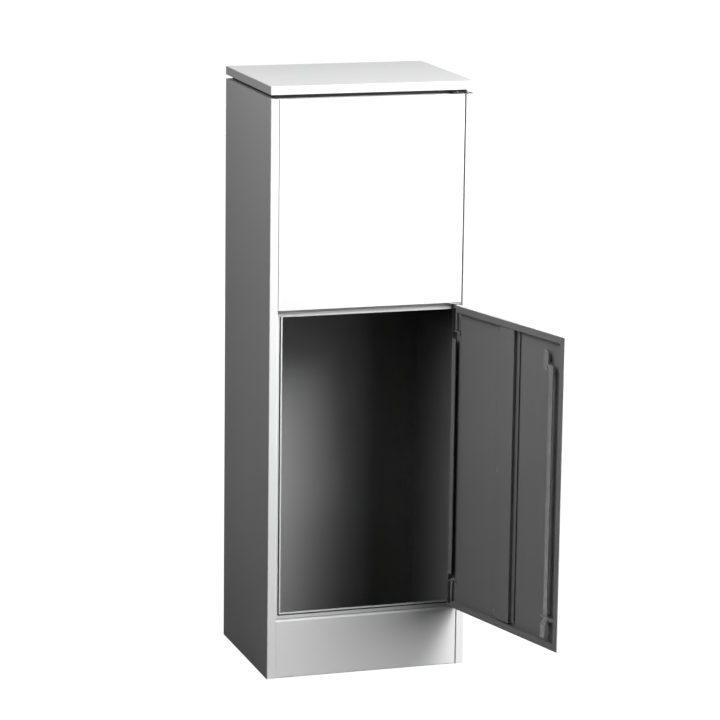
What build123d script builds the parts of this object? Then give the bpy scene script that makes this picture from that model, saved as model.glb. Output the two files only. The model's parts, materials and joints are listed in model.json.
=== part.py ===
"""Two-compartment parcel and mail locker: a folded sheet-steel column with a flat lid.

The lower door stands open on its pin hinges and carries a cam lock with a drop rod. The upper door is
shut. Millimetres, +X to the right seen from the front, +Y to the back, +Z up. The origin is the centre
of the footprint, on the floor.
"""
from build123d import *
from collections import namedtuple
import os

os.makedirs("parts", exist_ok=True)

# ---------------------------------------------------------------- overall sizes
width = 450.0
depth = 350.0
body_height = 1260.0
lid_gap = 9.0
lid_height = 18.0
plinth_height = 129.0
shelf_height = 808.0

# ---------------------------------------------------------------- sheet
sheet = 1.5
bend = 2.2
floor_sheet = 2.0

# ---------------------------------------------------------------- cabinet
front_flange = 19.0
rear_flange = 34.0
stop_lip = 14.3
bead_width = 3.0
bead_height = 1.0
seal_width = 2.4
seal_height = 0.9
seal_gap = 0.1
sill_lip = 13.6
head_lip = 12.9
upper_lip = 16.0
plinth_recess = 2.0
plinth_floor_gap = 1.5
pin_hole_depth = 6.0
plinth_bend = 3.5
plinth_ledge = 13.0
plinth_return = 14.0
side_clearance = 0.4
pan_upstand = 25.0
panel_flange = 20.0
channel_depth = 28.0
tongue_reach = 9.0
back_plate_bottom = 585.0
back_panel_inset = 14.0
back_rivet_r = 2.0
back_rivet_head_r = 3.9
back_rivet_head = 1.3
back_rivet_recess_r = 1.2
back_rivet_recess = 0.8
back_rivet_inset = 25.5
back_rivet_start = 100.0
back_rivet_pitch = 75.0
back_rivet_count = 7
wall_hole_r = 4.25
wall_hole_spacing = 300.0
wall_hole_height = 765.0
anchor_hole_r = 6.0
anchor_spacing_x = 300.0
anchor_spacing_y = 220.0

# ---------------------------------------------------------------- lid
lid_recess_front = 15.5
lid_recess_side = 12.0
collar_flange = 20.0
lid_edge_r = 1.4
lid_screw_r = 2.5
lid_screw_head_r = 4.5
lid_screw_head = 2.8
lid_screw_proud = 1.5
lid_screw_inset = 11.0
lid_screw_end_inset = 20.0
screw_clearance = 0.25

# ---------------------------------------------------------------- doors
door_gap = 2.0
door_depth = 13.0
stop_gap = 2.0
lip_end_gap = 2.0
door_sheet = 1.2
door_border = 15.0
lower_side_r = 2.0
upper_side_r = 0.8
upper_left_gap = 0.4
door_edge_r = 0.9
mitre_slit = 0.5
mitre_start = 3.5
upper_door_gap = 1.5
lower_door_gap = 2.5
top_clearance = 0.5
pin_depth = 6.5
lower_pin_inset = 7.5
upper_pin_inset = 15.5
lower_rest_angle = 105.0

# stiffener of each door
hat_width = 52.0
hat_bend = 1.6
hat_sheet = 1.0
hat_top_clearance = 0.2
hat_rivet_foot = 25.0
hat_free_foot = 10.0
hat_end_gap = 1.0
hat_lower_end_gap = 4.0
tape_thickness = 2.0
tape_inset = 2.5
rivet_r = 2.4
rivet_height = 0.8
rivet_head_r = 3.6
rivet_head_taper = 25.0
rivet_edge = 12.5
rivet_end = 27.5
rivet_count = 5

# ---------------------------------------------------------------- pin hinges
pin_r = 2.0
pin_fit = 0.05
pin_clearance = 0.3
pin_tip = 0.9
bush_wall = 0.8
bush_flange = 1.0
bush_flange_height = 0.9
bracket_length = 52.0
bracket_edge_side = 5.0
bracket_free_side = 9.5
bracket_sheet = 1.2
bracket_end = 6.0
bracket_gap = 0.4
bracket_corner_r = 1.5
handle_width = 2.8
handle_height = 3.0
handle_reach = 14.0
handle_drop = 5.0
handle_room = 16.0
pin_chamfer = 0.5
pin_drop = 3.5
pivot_plate = 2.0
pivot_plate_reach = 12.0

# ---------------------------------------------------------------- cam lock and drop rod
lock_edge = 60.0
lock_drop = 72.0
lock_head_r = 10.0
lock_head = 2.5
lock_head_edge_r = 0.8
lock_body_r = 8.0
lock_nut_r = 12.0
lock_nut_height = 3.0
lock_body_end = 10.5
plug_r = 6.0
plug_proud = 0.6
plug_fit = 0.05
key_slot_length = 7.0
key_slot_width = 1.6
key_slot_depth = 4.0
square_tail = 6.0
cam_level = 10.7
cam_sheet = 1.8
cam_arm = 18.0
cam_plate_height = 13.0
cam_tab_width = 16.0
cam_tab_rise = 37.0
cam_heel = 12.0
cam_arm_end = 8.0
cam_corner_r = 3.0
cam_hole_clearance = 0.1
cam_screw_head_r = 3.8
cam_screw_head = 1.6
rod_width = 13.5
rod_sheet = 2.0
rod_level_gap = 0.3
rod_end_height = 24.0
rod_joggle = 6.5
rod_joggle_top = 60.0
rod_joggle_length = 9.0
rod_rivet_r = 2.5
rod_rivet_fit = 0.06
rod_rivet_head_r = 3.6
rod_rivet_head = 0.9
rod_rivet_gap = 0.15
rod_bend = 3.0
rod_end_flat = 0.05
rod_foot_r = 3.0
guide_height = 68.0
guide_width = 30.0
guide_reach = 17.5
guide_foot = 14.0
guide_slot_width = 24.0
guide_slot_margin = 1.0
guide_corner_r = 2.0

# ---------------------------------------------------------------- magnetic catch
magnet_length = 40.0
magnet_width = 9.0
magnet_height = 1.5
magnet_end = 90.0

# ---------------------------------------------------------------- places worked out from the sizes
half_width = width / 2
front = -depth / 2
back = depth / 2
opening_half = half_width - front_flange
stop_depth = door_depth + stop_gap
stop_face = front + stop_depth
inner_half = half_width - sheet
inner_back = back - sheet
back_face = inner_back - sheet
shelf_under = shelf_height - sheet
lid_bottom = body_height + lid_gap
door_right = opening_half - door_gap
bush_r = pin_r + pin_fit + bush_wall
pin_y = front + pin_depth

Door = namedtuple("Door", "bottom top left pin_inset side_r")
lower = Door(
    plinth_height + door_gap,
    shelf_under - lower_door_gap,
    -opening_half + door_gap,
    lower_pin_inset,
    lower_side_r,
)
upper = Door(
    shelf_height + upper_door_gap,
    body_height - top_clearance,
    -opening_half + upper_left_gap,
    upper_pin_inset,
    upper_side_r,
)
back_rivet_places = [
    (x, back_rivet_start + back_rivet_pitch * i)
    for x in (-half_width + back_rivet_inset, half_width - back_rivet_inset)
    for i in range(back_rivet_count)
]


def pin_x(door):
    """The hinge axis of a door, counted from its hinge edge."""
    return door_right - door.pin_inset


def sweep(door):
    """How far the door's inner corner reaches from the hinge axis as it swings."""
    return (door.pin_inset ** 2 + (door_depth - pin_depth) ** 2) ** 0.5


def lip_end(door):
    """The right-hand end of a door's stop lips, clear of the swinging corner."""
    bead_face = stop_depth - bead_height - pin_depth
    reach = max(sweep(door) ** 2 - bead_face ** 2, 0.0) ** 0.5
    return pin_x(door) - reach - lip_end_gap


def folded(points, radius, thickness, side):
    """A folded sheet's section: its outer line, rounded at each bend, and its thickness to one side."""
    with BuildSketch(Plane.XY) as section:
        with BuildLine():
            FilletPolyline(*points, radius=radius)
            offset(amount=thickness, side=side)
        make_face()
    return section.sketch


def save(piece, name):
    """Label a finished piece and write its file."""
    piece.label = name
    export_step(piece, f"parts/{name}.step")


def opened(piece):
    """Turn a piece of the lower door about its hinge pins, from shut to the rest pose."""
    hinge = Axis((pin_x(lower), pin_y, 0), (0, 0, 1))
    return piece.rotate(hinge, lower_rest_angle)


# ================================================================ cabinet
def side_panel():
    """The left side: skin, front flange with its return, and rear flange, folded from one sheet."""
    outline = [
        (-opening_half, stop_face),
        (-opening_half, front),
        (-half_width, front),
        (-half_width, back),
        (-half_width + rear_flange, back),
    ]
    with BuildPart() as panel:
        with BuildSketch(Plane.XY):
            add(folded(outline, bend, sheet, Side.RIGHT))
        extrude(amount=body_height)
        with BuildSketch(Plane.XZ.offset(-back)):
            with Locations(*back_rivet_places):
                Circle(back_rivet_r)
        extrude(amount=sheet, mode=Mode.SUBTRACT)
    return panel.part


def back_panel():
    """The back, riveted to the side panels' rear flanges, with its two wall holes."""
    with BuildPart() as panel:
        with BuildSketch(Plane.XZ.offset(-inner_back)):
            with Locations((0, body_height / 2)):
                Rectangle(width - 2 * back_panel_inset, body_height)
            with Locations(*back_rivet_places):
                Circle(back_rivet_r, mode=Mode.SUBTRACT)
            with Locations((0, wall_hole_height)):
                with GridLocations(wall_hole_spacing, 0, 2, 1):
                    Circle(wall_hole_r, mode=Mode.SUBTRACT)
        extrude(amount=sheet)
    return panel.part


def back_rivets():
    """The blind rivets that hold the back panel, with their hollow heads inside the locker."""
    with BuildPart() as rivets:
        with BuildSketch(Plane.XZ.offset(-back)):
            with Locations(*back_rivet_places):
                Circle(back_rivet_r)
        extrude(amount=2 * sheet)
        with BuildSketch(Plane.XZ.offset(-back_face)):
            with Locations(*back_rivet_places):
                Circle(back_rivet_head_r)
        extrude(amount=back_rivet_head, taper=rivet_head_taper)
        with BuildSketch(Plane.XZ.offset(-back_face + back_rivet_head)):
            with Locations(*back_rivet_places):
                Circle(back_rivet_recess_r)
        extrude(amount=-back_rivet_recess, mode=Mode.SUBTRACT)
    return rivets.part


def upper_back_plate():
    """The plate on the inside of the back panel that spreads the load of the wall screws."""
    plate_top = shelf_under
    with BuildPart() as plate:
        with BuildSketch(Plane.XZ.offset(-back_face)):
            with Locations((0, (back_plate_bottom + plate_top) / 2)):
                Rectangle(2 * (inner_half - 2 * sheet), plate_top - back_plate_bottom)
            with Locations((0, wall_hole_height)):
                with GridLocations(wall_hole_spacing, 0, 2, 1):
                    Circle(wall_hole_r, mode=Mode.SUBTRACT)
        extrude(amount=sheet)
    return plate.part


def floor_outline(inset):
    """The floor's outline, stepped in at the front to pass between the side panels' returns."""
    front_half = opening_half - side_clearance - inset
    wide_half = inner_half - inset
    front_edge = front + plinth_recess + sheet + inset
    step = stop_face + inset
    rear_edge = back_face - inset
    with BuildSketch(Plane.XY) as outline:
        with BuildLine():
            Polyline(
                (-front_half, front_edge),
                (front_half, front_edge),
                (front_half, step),
                (wide_half, step),
                (wide_half, rear_edge),
                (-wide_half, rear_edge),
                (-wide_half, step),
                (-front_half, step),
                close=True,
            )
        make_face()
    return outline.sketch


def base_pan():
    """The floor that the locker stands on: a pan with upstands and four anchor holes."""
    with BuildPart() as pan:
        with BuildSketch(Plane.XY):
            add(floor_outline(0))
        extrude(amount=pan_upstand)
        with BuildSketch(Plane.XY.offset(floor_sheet)):
            add(floor_outline(sheet))
        extrude(amount=pan_upstand, mode=Mode.SUBTRACT)
        with BuildSketch(Plane.XY):
            with GridLocations(anchor_spacing_x, anchor_spacing_y, 2, 2):
                Circle(anchor_hole_r)
        extrude(amount=floor_sheet, mode=Mode.SUBTRACT)
    return pan.part


def plinth_panel():
    """The front below the door: a recessed face, the ledge with the lower pin's hole, and its return."""
    face = front + plinth_recess
    ledge_end = face + plinth_ledge
    profile = [
        (face, plinth_floor_gap),
        (face, plinth_height),
        (ledge_end, plinth_height),
        (ledge_end, plinth_height - plinth_return),
    ]
    length = 2 * (opening_half - side_clearance)
    with BuildPart() as panel:
        with BuildSketch(Plane.YZ.offset(-length / 2)):
            add(folded(profile, plinth_bend, sheet, Side.RIGHT))
        extrude(amount=length)
        with BuildSketch(Plane.XY.offset(plinth_height)):
            with Locations((pin_x(lower), pin_y)):
                Circle(bush_r)
        extrude(amount=-pin_hole_depth, mode=Mode.SUBTRACT)
    return panel.part


def divider_shelf():
    """The shelf between the compartments. Its front tongue carries a pin of each door."""
    tongue_front = front + bend
    tongue_left = pin_x(upper) - tongue_reach
    tongue_right = opening_half - side_clearance
    rear_edge = back_face
    flange_front = stop_face + 2 * sheet
    with BuildPart() as shelf:
        with BuildSketch(Plane.XY.offset(shelf_under)):
            with Locations((0, (stop_face + rear_edge) / 2)):
                Rectangle(2 * inner_half, rear_edge - stop_face)
            with Locations((tongue_left, tongue_front)):
                Rectangle(tongue_right - tongue_left, stop_face - tongue_front,
                          align=(Align.MIN, Align.MIN))
            with Locations((pin_x(lower), pin_y), (pin_x(upper), pin_y)):
                Circle(bush_r, mode=Mode.SUBTRACT)
        extrude(amount=sheet)
        with BuildSketch(Plane.XY.offset(shelf_under)):
            with Locations((0, (flange_front + rear_edge - 2 * sheet) / 2)):
                with GridLocations(2 * inner_half - sheet, 0, 2, 1):
                    Rectangle(sheet, rear_edge - 2 * sheet - flange_front)
        extrude(amount=-panel_flange)
    return shelf.part


def transom_channel():
    """The channel that stiffens the shelf's front edge, between the side panel and the hinge corner."""
    channel_front = stop_face + sheet
    channel_back = channel_front + channel_depth
    profile = [
        (channel_front, shelf_under),
        (channel_front, shelf_under - head_lip),
        (channel_back, shelf_under - head_lip),
        (channel_back, shelf_under),
    ]
    left = -inner_half + 2 * sheet
    with BuildPart() as channel:
        with BuildSketch(Plane.YZ.offset(left)):
            add(folded(profile, bend, sheet, Side.LEFT))
        extrude(amount=lip_end(lower) - left)
    return channel.part


def stop_frame(door, low, high, low_lip, high_lip):
    """The lips that a door closes on, left, below and above, with a raised bead along their edge."""
    right = lip_end(door)
    left = -inner_half
    inner_left = -opening_half + stop_lip
    middle = (low + high) / 2
    with BuildPart() as frame:
        with BuildSketch(Plane.XZ.offset(-stop_face - sheet)):
            with Locations(((left + right) / 2, middle)):
                Rectangle(right - left, high - low)
            with Locations((inner_left, low + low_lip)):
                Rectangle(width, high - high_lip - low - low_lip, align=(Align.MIN, Align.MIN),
                          mode=Mode.SUBTRACT)
        extrude(amount=sheet)
        with BuildSketch(Plane.XZ.offset(-stop_face)):
            with Locations((inner_left - bead_width, low + low_lip - bead_width)):
                Rectangle(right - inner_left + bead_width,
                          high - high_lip - low - low_lip + 2 * bead_width,
                          align=(Align.MIN, Align.MIN))
            with Locations((inner_left, low + low_lip)):
                Rectangle(width, high - high_lip - low - low_lip, align=(Align.MIN, Align.MIN),
                          mode=Mode.SUBTRACT)
        extrude(amount=bead_height)
    return frame.part


def top_panel():
    """The top of the body, cut back where the upper door's corner swings."""
    corner_front = pin_y + sweep(upper) + lip_end_gap
    rear_edge = back_face
    flange_front = corner_front + bend
    with BuildPart() as panel:
        with BuildSketch(Plane.XY.offset(body_height)):
            with Locations((0, (corner_front + rear_edge) / 2)):
                Rectangle(2 * inner_half, rear_edge - corner_front)
            with Locations((-inner_half, stop_face)):
                Rectangle(lip_end(upper) + inner_half, corner_front - stop_face,
                          align=(Align.MIN, Align.MIN))
            with Locations(*lid_screw_places):
                Circle(lid_screw_r + screw_clearance, mode=Mode.SUBTRACT)
        extrude(amount=-sheet)
        with BuildSketch(Plane.XY.offset(body_height - sheet)):
            with Locations((0, (flange_front + rear_edge - 2 * sheet) / 2)):
                with GridLocations(2 * inner_half - sheet, 0, 2, 1):
                    Rectangle(sheet, rear_edge - 2 * sheet - flange_front)
        extrude(amount=-panel_flange)
    return panel.part


# ================================================================ lid
collar_left = -half_width + lid_recess_side
collar_front = front + lid_recess_front
collar_back = back - lid_recess_side
collar_width = -2 * collar_left
collar_length = collar_back - collar_front
collar_middle = (collar_front + collar_back) / 2
lid_screw_x = -collar_left - lid_screw_inset
lid_screw_front = collar_front + lid_screw_end_inset
lid_screw_back = collar_back - lid_screw_end_inset
lid_screw_places = [
    (x, y)
    for x in (-lid_screw_x, lid_screw_x)
    for y in (lid_screw_front, lid_screw_back)
]


def lid_collar():
    """The recessed collar between the body and the lid: a wall with a flange at its top and foot."""
    with BuildPart() as collar:
        with BuildSketch(Plane.XY.offset(body_height)):
            with Locations((0, collar_middle)):
                Rectangle(collar_width, collar_length)
                Rectangle(collar_width - 2 * collar_flange, collar_length - 2 * collar_flange,
                          mode=Mode.SUBTRACT)
            with Locations(*lid_screw_places):
                Circle(lid_screw_r + screw_clearance, mode=Mode.SUBTRACT)
        extrude(amount=lid_gap)
        with BuildSketch(Plane.XY.offset(body_height + sheet)):
            with Locations((0, collar_middle)):
                Rectangle(collar_width - 2 * sheet, collar_length - 2 * sheet)
        extrude(amount=lid_gap - 2 * sheet, mode=Mode.SUBTRACT)
    return collar.part


def lid():
    """The flat lid: a shallow pan turned upside down."""
    with BuildPart() as cover:
        with BuildSketch(Plane.XY.offset(lid_bottom)):
            RectangleRounded(width, depth, lid_edge_r)
        extrude(amount=lid_height)
        fillet(cover.faces().sort_by(Axis.Z)[-1].edges(), lid_edge_r)
        with BuildSketch(Plane.XY.offset(lid_bottom)):
            Rectangle(width - 2 * sheet, depth - 2 * sheet)
        extrude(amount=lid_height - sheet, mode=Mode.SUBTRACT)
    return cover.part


def lid_base_plate():
    """The plate that closes the lid from below and takes its screws."""
    with BuildPart() as plate:
        with BuildSketch(Plane.XY.offset(lid_bottom)):
            Rectangle(width - 2 * sheet, depth - 2 * sheet)
            with Locations(*lid_screw_places):
                Circle(lid_screw_r, mode=Mode.SUBTRACT)
        extrude(amount=sheet)
    return plate.part


def lid_screws():
    """The screws up through the top panel and the collar into the lid's base plate."""
    head_bottom = body_height - sheet - lid_screw_head
    thread_end = lid_bottom + sheet + lid_screw_proud
    with BuildPart() as screws:
        with BuildSketch(Plane.XY.offset(head_bottom)):
            with Locations(*lid_screw_places):
                Circle(lid_screw_head_r)
                RegularPolygon(lid_screw_r, 6, mode=Mode.SUBTRACT)
        extrude(amount=lid_screw_head)
        with BuildSketch(Plane.XY.offset(head_bottom + lid_screw_head / 2)):
            with Locations(*lid_screw_places):
                Circle(lid_screw_r)
        extrude(amount=thread_end - head_bottom - lid_screw_head / 2)
    return screws.part


# ================================================================ bushes and pivot plate
def bush(x, plate_bottom, plate, flange_above):
    """A flanged plastic bush in a plate, for one hinge pin."""
    flange_bottom = plate_bottom + plate if flange_above else plate_bottom - bush_flange_height
    with BuildPart() as sleeve:
        with BuildSketch(Plane.XY.offset(plate_bottom)):
            with Locations((x, pin_y)):
                Circle(bush_r)
        extrude(amount=plate)
        with BuildSketch(Plane.XY.offset(flange_bottom)):
            with Locations((x, pin_y)):
                Circle(bush_r + bush_flange)
        extrude(amount=bush_flange_height)
        with BuildSketch(Plane.XY.offset(plate_bottom - bush_flange_height)):
            with Locations((x, pin_y)):
                Circle(pin_r + pin_fit)
        extrude(amount=plate + 2 * bush_flange_height, mode=Mode.SUBTRACT)
    return sleeve.part


def upper_pivot_plate():
    """The angle on the collar that holds the upper door's top pin, inside the shadow gap."""
    plate_bottom = body_height + sheet
    with BuildPart() as plate:
        with BuildSketch(Plane.XY.offset(plate_bottom)):
            with Locations((pin_x(upper), front + bend)):
                Rectangle(2 * pivot_plate_reach, collar_front - front - bend,
                          align=(Align.CENTER, Align.MIN))
        extrude(amount=pivot_plate)
        with BuildSketch(Plane.XY.offset(plate_bottom)):
            with Locations((pin_x(upper), collar_front)):
                Rectangle(2 * pivot_plate_reach, pivot_plate, align=(Align.CENTER, Align.MAX))
        extrude(amount=lid_gap - 2 * sheet)
        with BuildSketch(Plane.XY.offset(plate_bottom)):
            with Locations((pin_x(upper), pin_y)):
                Circle(bush_r)
        extrude(amount=pivot_plate, mode=Mode.SUBTRACT)
    return plate.part


# ================================================================ what both doors share
def door_tray(door):
    """A door's skin: one sheet folded back at all four edges and in again behind them."""
    tray_width = door_right - door.left
    centre = (door_right + door.left) / 2
    tray_height = door.top - door.bottom
    middle = (door.top + door.bottom) / 2
    with BuildPart() as tray:
        with BuildSketch(Plane.XY.offset(door.bottom)):
            with Locations((centre, front + door_depth / 2)):
                RectangleRounded(tray_width, door_depth, door.side_r)
        extrude(amount=tray_height)
        fillet(tray.faces().sort_by(Axis.Z)[0].edges(), door_edge_r)
        fillet(tray.faces().sort_by(Axis.Z)[-1].edges(), door_edge_r)
        with BuildSketch(Plane.XY.offset(door.bottom + door_sheet)):
            with Locations((centre, front + door_depth / 2)):
                Rectangle(tray_width - 2 * door_sheet, door_depth - 2 * door_sheet)
        extrude(amount=tray_height - 2 * door_sheet, mode=Mode.SUBTRACT)
        with BuildSketch(Plane.XZ.offset(-front - door_depth)):
            with Locations((centre, middle)):
                Rectangle(tray_width - 2 * door_border, tray_height - 2 * door_border)
            add(mitre_slits(door))
            add(bracket_windows(door))
        extrude(amount=door_sheet, mode=Mode.SUBTRACT)
        with BuildSketch(Plane.XY.offset(door.bottom)):
            with Locations((pin_x(door), pin_y)):
                Circle(pin_r + pin_clearance)
        extrude(amount=door_sheet, mode=Mode.SUBTRACT)
        with BuildSketch(Plane.XY.offset(door.top)):
            with Locations((pin_x(door), pin_y)):
                Circle(pin_r + pin_clearance)
        extrude(amount=-door_sheet, mode=Mode.SUBTRACT)
    return tray.part


def lower_door_tray():
    """The lower door's skin, with the hole for the lock."""
    with BuildPart() as tray:
        add(door_tray(lower))
        with BuildSketch(level(0)):
            with Locations((lock_x, lock_z)):
                Circle(lock_body_r)
        extrude(amount=-door_sheet, mode=Mode.SUBTRACT)
    return tray.part


def mitre_slits(door):
    """The joints between the folded borders, cut at 45 degrees across the free-edge corners."""
    inner_end = door_border + mitre_slit
    length = (inner_end - mitre_start) * 2 ** 0.5
    offset_in = (inner_end + mitre_start) / 2
    x = door.left + offset_in
    with BuildSketch(Plane.XY) as slits:
        with Locations((x, door.top - offset_in)):
            Rectangle(length, mitre_slit, rotation=-45)
        with Locations((x, door.bottom + offset_in)):
            Rectangle(length, mitre_slit, rotation=45)
    return slits.sketch


def bracket_span(door, at_top):
    """The low and high ends of a hinge bracket."""
    if at_top:
        high = door.top - bracket_end
        return high - bracket_length, high
    low = door.bottom + bracket_end
    return low, low + bracket_length


def bracket_windows(door):
    """The openings in the hinge-side border that show the hinge brackets and their pins."""
    left = pin_x(door) - bracket_free_side - bracket_gap
    right = pin_x(door) + bracket_edge_side + bracket_gap
    with BuildSketch(Plane.XY) as windows:
        low, high = bracket_span(door, True)
        with Locations((left, low - handle_room)):
            Rectangle(right - left, high - low + handle_room + bracket_gap, align=(Align.MIN, Align.MIN))
        low, high = bracket_span(door, False)
        with Locations((left, low - bracket_gap)):
            Rectangle(right - left, high - low + handle_room + bracket_gap, align=(Align.MIN, Align.MIN))
    return windows.sketch


def hinge_bracket(door, at_top):
    """A bracket on the inside of the skin: a base and an ear at each end, bored for the pin."""
    low, high = bracket_span(door, at_top)
    left = pin_x(door) - bracket_free_side
    bracket_width = bracket_free_side + bracket_edge_side
    base_face = front + door_sheet
    ear_height = door_depth - door_sheet - bracket_gap
    with BuildPart() as bracket:
        with BuildSketch(Plane.XY.offset(low)):
            with Locations((left, base_face)):
                Rectangle(bracket_width, ear_height, align=(Align.MIN, Align.MIN))
        extrude(amount=high - low)
        fillet(bracket.edges().filter_by(Axis.Z).group_by(Axis.Y)[-1], bracket_corner_r)
        with BuildSketch(Plane.XY.offset(low + bracket_sheet)):
            with Locations((left - bracket_gap, base_face + bracket_sheet)):
                Rectangle(bracket_width + 2 * bracket_gap, ear_height, align=(Align.MIN, Align.MIN))
        extrude(amount=high - low - 2 * bracket_sheet, mode=Mode.SUBTRACT)
        with BuildSketch(Plane.XY.offset(low)):
            with Locations((pin_x(door), pin_y)):
                Circle(pin_r + pin_fit)
        extrude(amount=high - low, mode=Mode.SUBTRACT)
    return bracket.part


def hinge_pin(door, at_top, tip):
    """A sliding hinge pin: a round bar with a chamfered tip and a finger handle at its inner end."""
    low, high = bracket_span(door, at_top)
    inner_end = low - handle_drop if at_top else high + handle_drop
    bottom = min(inner_end, tip)
    length = abs(tip - inner_end)
    handle_end = inner_end + pin_chamfer if at_top else inner_end - pin_chamfer
    handle_middle = handle_end + handle_height / 2 if at_top else handle_end - handle_height / 2
    x = pin_x(door)
    with BuildPart() as pin:
        with BuildSketch(Plane.XY.offset(bottom)):
            with Locations((x, pin_y)):
                Circle(pin_r)
        extrude(amount=length)
        chamfer(pin.edges().filter_by(GeomType.CIRCLE).sort_by(Axis.Z)[0], pin_chamfer)
        chamfer(pin.edges().filter_by(GeomType.CIRCLE).sort_by(Axis.Z)[-1], pin_chamfer)
        with BuildSketch(Plane.YZ.offset(x)):
            with Locations((pin_y, handle_middle)):
                Rectangle(handle_width, handle_height)
        extrude(amount=-handle_reach)
    return pin.part


def stiffener(door):
    """The hat-section stiffener down the middle of a door, from border to border."""
    foot = front + door_sheet + tape_thickness + hat_sheet
    crown = front + door_depth - hat_top_clearance
    profile = [
        (hat_width / 2 + hat_rivet_foot, foot),
        (hat_width / 2, foot),
        (hat_width / 2, crown),
        (-hat_width / 2, crown),
        (-hat_width / 2, foot),
        (-hat_width / 2 - hat_free_foot, foot),
    ]
    low = door.bottom + door_border + hat_lower_end_gap
    high = door.top - door_border - hat_end_gap
    with BuildPart() as hat:
        with BuildSketch(Plane.XY.offset(low)):
            add(folded(profile, hat_bend, hat_sheet, Side.LEFT))
        extrude(amount=high - low)
        with BuildSketch(Plane.XZ.offset(-foot)):
            with Locations(*rivet_places(door)):
                Circle(rivet_r)
        extrude(amount=hat_sheet, mode=Mode.SUBTRACT)
    return hat.part


def rivet_places(door):
    """The rivet centres on the stiffener's wide foot, evenly spaced over the door's height."""
    x = hat_width / 2 + rivet_edge
    low = door.bottom + rivet_end
    pitch = (door.top - door.bottom - 2 * rivet_end) / (rivet_count - 1)
    return [(x, low + pitch * i) for i in range(rivet_count)]


def stiffener_tapes(door):
    """The two foam tapes between the stiffener's feet and the skin."""
    low = door.bottom + door_border + hat_lower_end_gap + tape_inset
    high = door.top - door_border - hat_end_gap - tape_inset
    wide = hat_rivet_foot - 2 * tape_inset
    narrow = hat_free_foot - 2 * tape_inset
    with BuildPart() as tapes:
        with BuildSketch(Plane.XY.offset(low)):
            with Locations((hat_width / 2 + tape_inset, front + door_sheet)):
                Rectangle(wide, tape_thickness, align=(Align.MIN, Align.MIN))
            with Locations((-hat_width / 2 - tape_inset, front + door_sheet)):
                Rectangle(narrow, tape_thickness, align=(Align.MAX, Align.MIN))
        extrude(amount=high - low)
        with BuildSketch(Plane.XZ.offset(-front - door_sheet)):
            with Locations(*rivet_places(door)):
                Circle(rivet_r)
        extrude(amount=-tape_thickness, mode=Mode.SUBTRACT)
    return tapes.part


def stiffener_rivets(door):
    """The rivets through the stiffener's wide foot."""
    foot = front + door_sheet + tape_thickness + hat_sheet
    with BuildPart() as rivets:
        with BuildSketch(Plane.XZ.offset(-front - door_sheet)):
            with Locations(*rivet_places(door)):
                Circle(rivet_r)
        extrude(amount=-(tape_thickness + hat_sheet))
        with BuildSketch(Plane.XZ.offset(-foot)):
            with Locations(*rivet_places(door)):
                Circle(rivet_head_r)
        extrude(amount=-rivet_height, taper=rivet_head_taper)
    return rivets.part


# ================================================================ lock of the lower door
lock_x = lower.left + lock_edge
lock_z = lower.top - lock_drop
rod_x = lock_x - cam_arm
rod_level = cam_level + cam_sheet + rod_level_gap


def level(depth_in):
    """A plane across the shut lower door, so far behind its outer face, drawn in X and Z."""
    return Plane.XZ.offset(-front - depth_in)


def lock_body():
    """The lock's fixed barrel with its round head outside the door."""
    with BuildPart() as barrel:
        with BuildSketch(level(0)):
            with Locations((lock_x, lock_z)):
                Circle(lock_head_r)
        extrude(amount=lock_head)
        fillet(barrel.edges().group_by(Axis.Y)[0], lock_head_edge_r)
        with BuildSketch(level(0)):
            with Locations((lock_x, lock_z)):
                Circle(lock_body_r)
        extrude(amount=-lock_body_end)
        with BuildSketch(level(-lock_head)):
            with Locations((lock_x, lock_z)):
                Circle(plug_r + plug_fit)
        extrude(amount=-(lock_head + lock_body_end), mode=Mode.SUBTRACT)
    return barrel.part


def lock_nut():
    """The hexagon nut that clamps the lock to the skin."""
    with BuildPart() as nut:
        with BuildSketch(level(door_sheet)):
            with Locations((lock_x, lock_z)):
                RegularPolygon(lock_nut_r, 6)
                Circle(lock_body_r, mode=Mode.SUBTRACT)
        extrude(amount=-lock_nut_height)
    return nut.part


def lock_plug():
    """The turning plug, with its key slot outside and its square tail inside."""
    with BuildPart() as plug:
        with BuildSketch(level(lock_body_end)):
            with Locations((lock_x, lock_z)):
                Circle(plug_r)
        extrude(amount=lock_body_end + lock_head + plug_proud)
        with BuildSketch(level(-lock_head - plug_proud)):
            with Locations((lock_x, lock_z)):
                Rectangle(key_slot_width, key_slot_length)
        extrude(amount=-key_slot_depth, mode=Mode.SUBTRACT)
        with BuildSketch(level(lock_body_end)):
            with Locations((lock_x, lock_z)):
                Rectangle(square_tail, square_tail, rotation=45)
        extrude(amount=-(cam_level + cam_sheet - lock_body_end))
    return plug.part


def cam_lever():
    """The flat cam on the plug's tail: an arm to the rod's rivet and an upright tab."""
    tab_x = lock_x + cam_heel - cam_tab_width / 2
    tab_straight = cam_tab_rise - cam_tab_width / 2
    with BuildPart() as cam:
        with BuildSketch(level(cam_level)):
            with Locations((lock_x + cam_heel, lock_z)):
                Rectangle(cam_heel + cam_arm + cam_arm_end, cam_plate_height,
                          align=(Align.MAX, Align.CENTER))
            with Locations((tab_x, lock_z)):
                Rectangle(cam_tab_width, tab_straight, align=(Align.CENTER, Align.MIN))
            with Locations((tab_x, lock_z + tab_straight)):
                Circle(cam_tab_width / 2)
            with Locations((lock_x, lock_z)):
                Rectangle(square_tail + 2 * cam_hole_clearance, square_tail + 2 * cam_hole_clearance,
                          rotation=45, mode=Mode.SUBTRACT)
            with Locations((rod_x, lock_z)):
                Circle(rod_rivet_r + rod_rivet_fit, mode=Mode.SUBTRACT)
        extrude(amount=-cam_sheet)
        fillet(cam.edges().filter_by(Axis.Y).group_by(Axis.Z)[0], cam_corner_r)
    return cam.part


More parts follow.
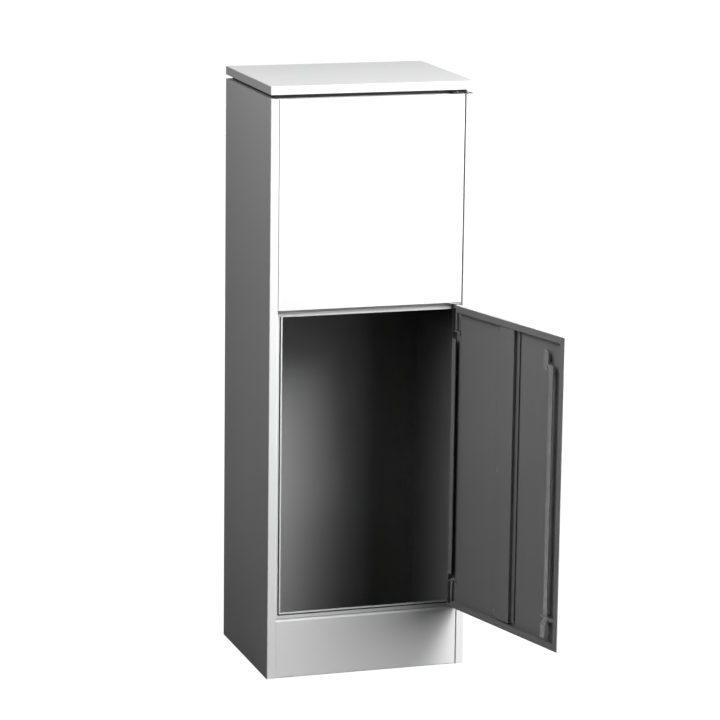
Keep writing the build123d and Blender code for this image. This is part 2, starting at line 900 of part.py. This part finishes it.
def cam_screw():
    """The screw that holds the cam on the plug."""
    with BuildPart() as screw:
        with BuildSketch(level(cam_level + cam_sheet)):
            with Locations((lock_x, lock_z)):
                Circle(cam_screw_head_r)
        extrude(amount=-cam_screw_head)
        with BuildSketch(level(cam_level + cam_sheet + cam_screw_head)):
            with Locations((lock_x, lock_z)):
                Rectangle(key_slot_width, 2 * cam_screw_head_r, rotation=45)
        extrude(amount=cam_screw_head / 2, mode=Mode.SUBTRACT)
    return screw.part


def lock_rod():
    """The flat drop rod, set in by a joggle near its foot so that it drops behind the sill lip."""
    top = lock_z + rod_width / 2
    foot = lower.bottom + rod_end_height
    joggle_top = lower.bottom + rod_joggle_top
    straight = front + rod_level
    profile = [
        (straight, top),
        (straight, joggle_top),
        (straight + rod_joggle, joggle_top - rod_joggle_length),
        (straight + rod_joggle, foot),
    ]
    with BuildPart() as rod:
        with BuildSketch(Plane.YZ.offset(rod_x - rod_width / 2)):
            add(folded(profile, rod_bend, rod_sheet, Side.LEFT))
        extrude(amount=rod_width)
        fillet(rod.edges().filter_by(Axis.Y).group_by(Axis.Z)[-1], rod_width / 2 - rod_end_flat)
        fillet(rod.edges().filter_by(Axis.Y).group_by(Axis.Z)[0], rod_foot_r)
        with BuildSketch(level(rod_level)):
            with Locations((rod_x, lock_z)):
                Circle(rod_rivet_r)
        extrude(amount=-rod_sheet, mode=Mode.SUBTRACT)
    return rod.part


def rod_rivet():
    """The rivet that joins the rod to the cam and lets it turn."""
    under = cam_level - rod_rivet_gap - rod_rivet_head
    over = rod_level + rod_sheet
    with BuildPart() as rivet:
        with BuildSketch(level(under)):
            with Locations((rod_x, lock_z)):
                Circle(rod_rivet_head_r)
        extrude(amount=-rod_rivet_head)
        with BuildSketch(level(under)):
            with Locations((rod_x, lock_z)):
                Circle(rod_rivet_r)
        extrude(amount=-(over - under))
        with BuildSketch(level(over)):
            with Locations((rod_x, lock_z)):
                Circle(rod_rivet_head_r)
        extrude(amount=-rod_rivet_head)
        fillet(rivet.edges().group_by(Axis.Y)[-1], rod_rivet_head / 2)
    return rivet.part


def rod_guide():
    """The angle on the skin whose slot guides the rod near its foot."""
    plate_top = lower.bottom + guide_height + sheet
    slot_low = rod_level - guide_slot_margin
    slot_high = rod_level + rod_sheet + guide_slot_margin
    with BuildPart() as guide:
        with BuildSketch(Plane.XY.offset(plate_top)):
            with Locations((rod_x, front + door_sheet)):
                Rectangle(guide_width, guide_reach, align=(Align.CENTER, Align.MIN))
            with Locations((rod_x, front + slot_low)):
                Rectangle(guide_slot_width, slot_high - slot_low, align=(Align.CENTER, Align.MIN),
                          mode=Mode.SUBTRACT)
        extrude(amount=-sheet)
        with BuildSketch(level(door_sheet)):
            with Locations((rod_x, plate_top)):
                Rectangle(guide_width, guide_foot, align=(Align.CENTER, Align.MAX))
        extrude(amount=-sheet)
        fillet(guide.edges().filter_by(Axis.Z).group_by(Axis.Y)[-1], guide_corner_r)
    return guide.part


# ================================================================ seal and magnets
def doorway_seal():
    """The thin foam seal on the lower door's stop lips: up the left side and along the sill."""
    bead_left = -opening_half + stop_lip - bead_width - seal_gap
    bead_bottom = plinth_height + sill_lip - bead_width - seal_gap
    seal_top = shelf_under - head_lip
    with BuildPart() as seal:
        with BuildSketch(Plane.XZ.offset(-stop_face)):
            with Locations((bead_left - seal_width, bead_bottom - seal_width)):
                Rectangle(seal_width, seal_top - bead_bottom + seal_width, align=(Align.MIN, Align.MIN))
                Rectangle(lip_end(lower) - bead_left + seal_width, seal_width,
                          align=(Align.MIN, Align.MIN))
        extrude(amount=seal_height)
        corner = seal.edges().filter_by(Axis.Y).group_by(Axis.X)[0].sort_by(Axis.Z)[0]
        fillet(corner, seal_width)
    return seal.part


def catch_magnets():
    """The flat magnets that hold the upper door shut by its steel border."""
    x = -opening_half + (stop_lip - bead_width) / 2
    with BuildPart() as magnets:
        with BuildSketch(Plane.XZ.offset(-stop_face)):
            with Locations((x, upper.top - magnet_end), (x, upper.bottom + magnet_end)):
                Rectangle(magnet_width, magnet_length)
        extrude(amount=magnet_height)
    return magnets.part


# ================================================================ write the pieces
left_side = side_panel()
save(left_side, "side_panel_left")
save(mirror(left_side, about=Plane.YZ), "side_panel_right")
save(back_panel(), "back_panel")
save(upper_back_plate(), "upper_back_plate")
save(back_rivets(), "back_rivets")
save(base_pan(), "base_pan")
save(plinth_panel(), "plinth_panel")
save(divider_shelf(), "divider_shelf")
save(transom_channel(), "transom_channel")
save(stop_frame(lower, plinth_height, shelf_under, sill_lip, head_lip), "lower_stop_frame")
save(stop_frame(upper, shelf_height, body_height - sheet, upper_lip, upper_lip), "upper_stop_frame")
save(top_panel(), "top_panel")
save(lid_collar(), "lid_collar")
save(lid(), "lid")
save(lid_base_plate(), "lid_base_plate")
save(lid_screws(), "lid_screws")
save(upper_pivot_plate(), "upper_pivot_plate")
save(bush(pin_x(lower), plinth_height - sheet, sheet, True), "lower_bush_bottom")
save(bush(pin_x(lower), shelf_under, sheet, False), "lower_bush_top")
save(bush(pin_x(upper), shelf_under, sheet, True), "upper_bush_bottom")
save(bush(pin_x(upper), body_height + sheet, pivot_plate, False), "upper_bush_top")
save(doorway_seal(), "doorway_seal")
save(catch_magnets(), "catch_magnets")

save(opened(lower_door_tray()), "lower_door_tray")
save(opened(stiffener(lower)), "lower_stiffener")
save(opened(stiffener_tapes(lower)), "lower_stiffener_tapes")
save(opened(stiffener_rivets(lower)), "lower_stiffener_rivets")
save(opened(hinge_bracket(lower, True)), "lower_hinge_bracket_top")
save(opened(hinge_bracket(lower, False)), "lower_hinge_bracket_bottom")
save(opened(hinge_pin(lower, True, shelf_height + pin_tip)), "lower_hinge_pin_top")
save(opened(hinge_pin(lower, False, plinth_height - sheet - pin_drop)), "lower_hinge_pin_bottom")
save(opened(lock_body()), "lock_body")
save(opened(lock_nut()), "lock_nut")
save(opened(lock_plug()), "lock_plug")
save(opened(cam_lever()), "cam_lever")
save(opened(cam_screw()), "cam_screw")
save(opened(lock_rod()), "lock_rod")
save(opened(rod_rivet()), "rod_rivet")
save(opened(rod_guide()), "rod_guide")

save(door_tray(upper), "upper_door_tray")
save(stiffener(upper), "upper_stiffener")
save(stiffener_tapes(upper), "upper_stiffener_tapes")
save(stiffener_rivets(upper), "upper_stiffener_rivets")
save(hinge_bracket(upper, True), "upper_hinge_bracket_top")
save(hinge_bracket(upper, False), "upper_hinge_bracket_bottom")
save(hinge_pin(upper, True, body_height + sheet + pivot_plate + pin_tip), "upper_hinge_pin_top")
save(hinge_pin(upper, False, shelf_under - pin_tip), "upper_hinge_pin_bottom")
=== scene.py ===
"""Looks for the two-compartment mail locker: materials, fine hinge hardware, light and camera.

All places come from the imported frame, in metres: +X right, +Y back, +Z up, origin on the floor.
"""
import json
import math

import bmesh
import bpy
from mathutils import Matrix, Vector


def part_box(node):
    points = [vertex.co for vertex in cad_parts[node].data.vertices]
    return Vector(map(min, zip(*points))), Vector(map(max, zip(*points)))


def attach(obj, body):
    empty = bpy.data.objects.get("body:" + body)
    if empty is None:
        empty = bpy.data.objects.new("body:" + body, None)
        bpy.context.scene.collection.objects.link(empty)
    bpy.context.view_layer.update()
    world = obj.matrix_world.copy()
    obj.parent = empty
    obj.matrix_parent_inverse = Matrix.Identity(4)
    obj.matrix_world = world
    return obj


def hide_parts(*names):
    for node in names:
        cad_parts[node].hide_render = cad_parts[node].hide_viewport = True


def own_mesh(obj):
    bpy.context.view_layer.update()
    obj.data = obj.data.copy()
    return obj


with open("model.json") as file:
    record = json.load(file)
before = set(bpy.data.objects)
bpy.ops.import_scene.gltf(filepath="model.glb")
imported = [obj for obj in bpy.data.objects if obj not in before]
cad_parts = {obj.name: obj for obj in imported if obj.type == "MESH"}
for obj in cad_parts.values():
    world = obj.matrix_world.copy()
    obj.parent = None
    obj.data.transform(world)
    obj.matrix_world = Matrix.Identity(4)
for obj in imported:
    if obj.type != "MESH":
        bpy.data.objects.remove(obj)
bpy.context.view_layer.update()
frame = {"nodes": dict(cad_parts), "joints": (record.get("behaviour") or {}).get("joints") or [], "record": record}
nodes = frame["nodes"]
MM = 0.001


# ---------------------------------------------------------------- node helpers
class Shader:
    """A material's node tree, built one node at a time."""

    def __init__(self, name):
        self.material = bpy.data.materials.new(name)
        self.material.use_nodes = True
        self.tree = self.material.node_tree
        self.surface = self.tree.nodes["Principled BSDF"]
        self.coords = self.node("ShaderNodeTexCoord").outputs["Object"]

    def node(self, kind, **values):
        made = self.tree.nodes.new(kind)
        for key, value in values.items():
            setattr(made, key, value)
        return made

    def link(self, output, target):
        self.tree.links.new(output, target)

    def stretch(self, scale):
        """Object coordinates, scaled by axis."""
        mapping = self.node("ShaderNodeMapping")
        mapping.inputs["Scale"].default_value = scale
        self.link(self.coords, mapping.inputs["Vector"])
        return mapping.outputs["Vector"]

    def noise(self, scale, detail=3.0, roughness=0.5, vector=None):
        made = self.node("ShaderNodeTexNoise")
        made.inputs["Scale"].default_value = scale
        made.inputs["Detail"].default_value = detail
        made.inputs["Roughness"].default_value = roughness
        self.link(vector or self.coords, made.inputs["Vector"])
        return made.outputs["Fac"]

    def ramp(self, value, stops):
        made = self.node("ShaderNodeValToRGB")
        ramp = made.color_ramp
        while len(ramp.elements) < len(stops):
            ramp.elements.new(0.5)
        for element, (place, colour) in zip(ramp.elements, stops):
            element.position = place
            element.color = colour if len(colour) == 4 else (*colour, 1.0)
        self.link(value, made.inputs["Fac"])
        return made.outputs["Color"]

    def range(self, value, low, high, from_low=0.0, from_high=1.0):
        made = self.node("ShaderNodeMapRange")
        made.inputs["From Min"].default_value = from_low
        made.inputs["From Max"].default_value = from_high
        made.inputs["To Min"].default_value = low
        made.inputs["To Max"].default_value = high
        self.link(value, made.inputs["Value"])
        return made.outputs["Result"]

    def soft_edges(self, radius):
        """Normals that round the sheet's cut edges, as the paint does."""
        made = self.node("ShaderNodeBevel", samples=4)
        made.inputs["Radius"].default_value = radius
        return made.outputs["Normal"]

    def bump(self, height, distance, strength=1.0, base=None):
        made = self.node("ShaderNodeBump")
        made.inputs["Distance"].default_value = distance
        made.inputs["Strength"].default_value = strength
        self.link(height, made.inputs["Height"])
        if base is not None:
            self.link(base, made.inputs["Normal"])
        return made.outputs["Normal"]

    def set(self, **values):
        for key, value in values.items():
            self.surface.inputs[key.replace("_", " ")].default_value = value


def grey(value, warm=0.0):
    """A neutral colour, slightly warmer or cooler."""
    return (value + warm, value, value - warm)


# ---------------------------------------------------------------- materials
def powder_coat(name, tone, peel=1.0):
    """Fine-textured satin powder coat: soft orange peel, faint cloudiness, slightly duller spots."""
    s = Shader(name)
    cloud = s.noise(3.5, 4.0, 0.55)
    fine = s.noise(420.0, 2.0, 0.5)
    s.link(s.ramp(cloud, [(0.3, grey(tone - 0.022)), (0.7, grey(tone, -0.002))]),
           s.surface.inputs["Base Color"])
    s.link(s.range(fine, 0.42, 0.52, 0.35, 0.65), s.surface.inputs["Roughness"])
    broad = s.bump(s.noise(160.0, 2.0, 0.5), 0.00012 * peel, 0.35, s.soft_edges(0.4 * MM))
    s.link(s.bump(fine, 0.00005 * peel, 0.35, broad), s.surface.inputs["Normal"])
    s.set(IOR=1.5, Specular_IOR_Level=0.45)
    return s.material


def zinc(name, tone):
    """Bright zinc plate on cold-rolled strip: faint spangle, rolling lines and duller patches."""
    s = Shader(name)
    patches = s.noise(90.0, 4.0, 0.6)
    spangle = [(0.25, grey(tone - 0.10, 0.004)), (0.55, grey(tone)), (0.8, grey(tone + 0.08, -0.006))]
    s.link(s.ramp(patches, spangle), s.surface.inputs["Base Color"])
    lines = s.noise(900.0, 2.0, 0.6, s.stretch((1.0, 1.0, 0.03)))
    s.link(s.range(patches, 0.40, 0.58), s.surface.inputs["Roughness"])
    s.link(s.bump(lines, 0.00004, 0.4), s.surface.inputs["Normal"])
    s.set(Metallic=0.6)
    return s.material


def satin_chrome(name):
    """The lock's satin chrome: fine turning marks and faint fingerprints."""
    s = Shader(name)
    smudge = s.noise(140.0, 3.0, 0.6)
    s.link(s.ramp(smudge, [(0.3, grey(0.62)), (0.7, grey(0.72, -0.004))]), s.surface.inputs["Base Color"])
    s.link(s.range(smudge, 0.16, 0.32), s.surface.inputs["Roughness"])
    s.link(s.bump(s.noise(1500.0, 1.0), 0.00002, 0.3), s.surface.inputs["Normal"])
    s.set(Metallic=1.0)
    return s.material


def soft_solid(name, dark, light, scale, rough_low, rough_high, bump):
    """Plastic, foam and ferrite: a mottled matte solid with its own grain size."""
    s = Shader(name)
    grain = s.noise(scale, 5.0, 0.6)
    s.link(s.ramp(grain, [(0.3, dark), (0.7, light)]), s.surface.inputs["Base Color"])
    s.link(s.range(grain, rough_low, rough_high), s.surface.inputs["Roughness"])
    s.link(s.bump(grain, bump, 0.6), s.surface.inputs["Normal"])
    return s.material


finishes = {
    "white_sheet": powder_coat("white powder coat", 0.86),
    "inner_sheet": powder_coat("white powder coat, inner sheets", 0.84, 1.2),
    "zinc_steel": zinc("bright zinc plate", 0.72),
    "lock_chrome": satin_chrome("satin chrome"),
    "black_plastic": soft_solid("black bush plastic", grey(0.018), grey(0.035), 700.0, 0.42, 0.6, 0.00004),
    # Painted shade: the neck in the shadow gap under the lid gets a near-black coat, which stands in for the shade
    # cast by the lid's overhang.
    "dark_collar": powder_coat("neck coat painted dark as shade", 0.06, 1.4),
    "foam_tape": soft_solid("dark foam tape", grey(0.02), grey(0.06), 900.0, 0.85, 0.98, 0.0002),
    "magnet_ferrite": soft_solid(
        "ferrite magnet", grey(0.03, 0.002), grey(0.075, 0.004), 600.0, 0.5, 0.7, 0.00005),
}

slot_of = {row["node"]: row["material_slot"] for row in frame["record"]["subparts"]}
for name, node in nodes.items():
    node.data.materials.clear()
    node.data.materials.append(finishes[slot_of[name]])


# ---------------------------------------------------------------- fine hardware
PIN_R = 2.0 * MM
PIN_BEND = 2.6 * MM
PIN_REACH = 14.0 * MM
PIN_CHAMFER = 0.5 * MM
PIN_LEAD = 1.0 * MM
PIN_SIDES = 24
BEND_STEPS = 8
# Distance from the handle's end, and share of the full radius there.
HANDLE_END = ((1.6 * MM, 1.0), (0.9 * MM, 0.93), (0.3 * MM, 0.72), (0.0, 0.35))
EAR = 1.2 * MM
SPRING_R = 2.8 * MM
SPRING_WIRE = 0.35 * MM
SPRING_LENGTH = 34.0 * MM
SPRING_TURNS = 12
SPRING_STEPS = 18
SPRING_SIDES = 8
SPRING_END_PITCH = 0.9  # of the middle turns' pitch
CLIP_R = 3.7 * MM
CLIP_SHEET = 0.6 * MM
CLIP_HALF_GAP = math.radians(38)
CLIP_STEPS = 28
joints = {joint["name"]: joint for joint in frame["joints"]}


def finished(name, mesh, body, slot, smooth=True):
    """An object from a bmesh, with its finish, on its body."""
    data = bpy.data.meshes.new(name)
    bmesh.ops.recalc_face_normals(mesh, faces=mesh.faces)
    mesh.to_mesh(data)
    mesh.free()
    for face in data.polygons:
        face.use_smooth = smooth
    piece = bpy.data.objects.new(name, data)
    bpy.context.scene.collection.objects.link(piece)
    data.materials.append(finishes[slot])
    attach(piece, body)
    return piece


def tube(points, radii, sides):
    """A closed round bar along points, with its own radius at each of them."""
    mesh = bmesh.new()
    rings = []
    across = None
    for i, point in enumerate(points):
        ahead = points[min(i + 1, len(points) - 1)] - points[max(i - 1, 0)]
        ahead.normalize()
        if across is None:
            across = ahead.orthogonal().normalized()
        across = (across - ahead * across.dot(ahead)).normalized()
        other = ahead.cross(across)
        ring = []
        for k in range(sides):
            turn = 2 * math.pi * k / sides
            place = point + radii[i] * (math.cos(turn) * across + math.sin(turn) * other)
            ring.append(mesh.verts.new(place))
        rings.append(ring)
    for low, high in zip(rings, rings[1:]):
        for k in range(sides):
            mesh.faces.new((low[k], low[(k + 1) % sides], high[(k + 1) % sides], high[k]))
    mesh.faces.new(rings[0])
    mesh.faces.new(rings[-1])
    return mesh


def arc(centre, start, end, steps):
    """Points of a quarter circle from centre + start to centre + end, both ends included."""
    turns = [math.pi / 2 * i / steps for i in range(steps + 1)]
    return [centre + start * math.cos(turn) + end * math.sin(turn) for turn in turns]


def door_frame(door):
    """The door's hinge axis and the direction from it towards the door's free edge, at rest."""
    hinge = joints[door + "_door_hinge"]
    open_angle = math.radians(-min(hinge["range_deg"]))
    return Vector(hinge["pos_m"]), Vector((-math.cos(open_angle), -math.sin(open_angle), 0))


def hinge_pin(door, end):
    """A sliding hinge pin bent over into a finger handle: chamfered tip, round bar, smooth bend."""
    node = f"{door}_hinge_pin_{end}"
    low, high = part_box(node)
    axis, inward = door_frame(door)
    up = 1 if end == "top" else -1
    tip_z, inner_z = (high.z, low.z) if end == "top" else (low.z, high.z)
    tip = Vector((axis.x, axis.y, tip_z))
    handle = Vector((axis.x, axis.y, inner_z + up * PIN_R))
    rise = Vector((0, 0, up))
    line = [tip, tip - rise * PIN_CHAMFER, handle + rise * (PIN_BEND + PIN_LEAD)]
    bend_centre = handle + rise * PIN_BEND + inward * PIN_BEND
    line += arc(bend_centre, -inward * PIN_BEND, -rise * PIN_BEND, BEND_STEPS)
    line += [handle + inward * (PIN_REACH - back) for back, _ in HANDLE_END]
    full = len(line) - 1 - len(HANDLE_END)
    radii = [PIN_R - PIN_CHAMFER] + [PIN_R] * full + [PIN_R * share for _, share in HANDLE_END]
    body = f"{door}_pin_{end}"
    piece = finished(body + "_bent", tube(line, radii, PIN_SIDES), body, "zinc_steel")
    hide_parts(node)


def pin_spring(door, end):
    """The spring that pushes a pin out, between the bracket's inner ear and a clip on the pin."""
    low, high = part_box(f"{door}_hinge_bracket_{end}")
    axis, inward = door_frame(door)
    up = 1 if end == "top" else -1
    seat_z = low.z + EAR if end == "top" else high.z - EAR
    seat = Vector((axis.x, axis.y, seat_z))
    steps = SPRING_STEPS * SPRING_TURNS
    line = []
    for i in range(steps + 1):
        share = i / steps
        flat = min(share, 1 - share) * SPRING_TURNS
        rest_of_pitch = 1 - SPRING_END_PITCH if share > 0.5 else 0.0
        eased = share if flat > 1 else share * SPRING_END_PITCH + rest_of_pitch
        turn = 2 * math.pi * SPRING_TURNS * share
        height = SPRING_WIRE + eased * (SPRING_LENGTH - 2 * SPRING_WIRE)
        line.append(seat + Vector((SPRING_R * math.cos(turn), SPRING_R * math.sin(turn), up * height)))
    spring = finished(
        f"{door}_spring_{end}",
        tube(line, [SPRING_WIRE] * len(line), SPRING_SIDES),
        f"{door}_door",
        "zinc_steel",
    )
    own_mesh(spring)
    clip_seat = seat + Vector((0, 0, up * SPRING_LENGTH))
    pin_clip(f"{door}_clip_{end}", clip_seat, up, inward, f"{door}_pin_{end}")


def pin_clip(name, seat, up, inward, body):
    """A spring clip round the pin: a flat ring open towards the door's free edge."""
    mesh = bmesh.new()
    heading = math.atan2(inward.y, inward.x)
    sweep = 2 * math.pi - 2 * CLIP_HALF_GAP
    corners = []
    for i in range(CLIP_STEPS + 1):
        turn = heading + CLIP_HALF_GAP + sweep * i / CLIP_STEPS
        ray = Vector((math.cos(turn), math.sin(turn), 0))
        corners.append([
            mesh.verts.new(seat + ray * radius + Vector((0, 0, up * height)))
            for radius, height in ((PIN_R, 0), (CLIP_R, 0), (CLIP_R, CLIP_SHEET), (PIN_R, CLIP_SHEET))
        ])
    for here, there in zip(corners, corners[1:]):
        for k in range(4):
            mesh.faces.new((here[k], here[(k + 1) % 4], there[(k + 1) % 4], there[k]))
    mesh.faces.new(corners[0])
    mesh.faces.new(corners[-1])
    finished(name, mesh, body, "zinc_steel", smooth=False)


for door in ("lower", "upper"):
    for end in ("top", "bottom"):
        hinge_pin(door, end)
        pin_spring(door, end)


# ---------------------------------------------------------------- floor, light and camera
FLOOR_SIZE = 60.0
FLOOR_DROP = 0.5 * MM
FLOOR_TONE = 0.5
FLOOR_GLOW = 1.12
FLOOR_WHITE = 0.92
SENSOR_WIDTH = 36.0
CAMERA_REACH = 100.0


def studio_floor():
    """A plain pale floor. It looks white to the camera and returns only a little light to the object."""
    bpy.ops.mesh.primitive_plane_add(size=FLOOR_SIZE, location=(0, 0, -FLOOR_DROP))
    floor = bpy.context.object
    floor.name = "studio_floor"
    material = bpy.data.materials.new("studio floor")
    material.use_nodes = True
    tree = material.node_tree
    tree.nodes.clear()
    output = tree.nodes.new("ShaderNodeOutputMaterial")
    mix = tree.nodes.new("ShaderNodeMixShader")
    diffuse = tree.nodes.new("ShaderNodeBsdfDiffuse")
    diffuse.inputs["Color"].default_value = (*grey(FLOOR_TONE), 1)
    glow = tree.nodes.new("ShaderNodeEmission")
    glow.inputs["Color"].default_value = (1, 1, 1, 1)
    glow.inputs["Strength"].default_value = FLOOR_GLOW
    path = tree.nodes.new("ShaderNodeLightPath")
    share = tree.nodes.new("ShaderNodeMath")
    share.operation = "MULTIPLY"
    share.inputs[1].default_value = FLOOR_WHITE
    tree.links.new(path.outputs["Is Camera Ray"], share.inputs[0])
    tree.links.new(share.outputs[0], mix.inputs[0])
    tree.links.new(diffuse.outputs[0], mix.inputs[1])
    tree.links.new(glow.outputs[0], mix.inputs[2])
    tree.links.new(mix.outputs[0], output.inputs["Surface"])
    floor.data.materials.append(material)


def studio_world(strength):
    """An even pale surround: white where the camera sees it, dim as a light."""
    world = bpy.data.worlds.new("studio")
    bpy.context.scene.world = world
    world.use_nodes = True
    tree = world.node_tree
    background = tree.nodes["Background"]
    path = tree.nodes.new("ShaderNodeLightPath")
    level = tree.nodes.new("ShaderNodeMapRange")
    level.inputs["To Min"].default_value = strength
    level.inputs["To Max"].default_value = 1.0
    tree.links.new(path.outputs["Is Camera Ray"], level.inputs["Value"])
    tree.links.new(level.outputs["Result"], background.inputs["Strength"])
    background.inputs["Color"].default_value = (1, 1, 1, 1)


def softbox(name, azimuth, elevation, distance, size, power, aim):
    """A rectangular area light; azimuth 0 is straight in front, positive towards +X."""
    a, e = math.radians(azimuth), math.radians(elevation)
    direction = Vector((math.sin(a) * math.cos(e), -math.cos(a) * math.cos(e), math.sin(e)))
    place = Vector(aim) + distance * direction
    light = bpy.data.lights.new(name, "AREA")
    light.shape = "RECTANGLE"
    light.size, light.size_y = size
    light.energy = power
    lamp = bpy.data.objects.new(name, light)
    lamp.location = place
    lamp.rotation_euler = (Vector(aim) - place).to_track_quat("-Z", "Y").to_euler()
    bpy.context.scene.collection.objects.link(lamp)


def camera(yaw, pitch, roll, distance, aim, lens):
    """A long-lens camera: yaw turns it to look towards +X, pitch looks down, roll leans it."""
    data = bpy.data.cameras.new("camera")
    data.lens = lens
    data.sensor_width = SENSOR_WIDTH
    data.clip_end = CAMERA_REACH
    eye = bpy.data.objects.new("camera", data)
    turn = Matrix.Rotation(-math.radians(yaw), 4, "Z") @ Matrix.Rotation(math.radians(90 - pitch), 4, "X")
    turn = turn @ Matrix.Rotation(math.radians(roll), 4, "Z")
    eye.matrix_world = Matrix.Translation(Vector(aim)) @ turn @ Matrix.Translation((0, 0, distance))
    bpy.context.scene.collection.objects.link(eye)
    bpy.context.scene.camera = eye


scene = bpy.context.scene
scene.view_settings.view_transform = "Standard"
scene.cycles.diffuse_bounces = 0
studio_floor()
studio_world(0.02)
softbox("key", 40, 38, 4.0, (2.0, 2.0), 220, (0, 0, 0.65))
softbox("low_key", 55, 12, 4.0, (2.0, 2.0), 59, (0, 0, 0.65))
softbox("broad", 35, 20, 4.0, (3.0, 3.0), 37, (0, 0, 0.65))
softbox("left_top", -80, 55, 1.5, (1.0, 1.0), 3.1, (0, 0, 0.65))
softbox("left", -60, 30, 2.5, (1.5, 1.5), 5.4, (0, 0, 0.65))
softbox("rear", 160, 0, 4.0, (2.4, 1.1), 60, (0, 0, 0.65))
camera(17.92, 12.18, 0.76, 7.1487, (-0.0146, -0.1500, 0.6893), 166.9)
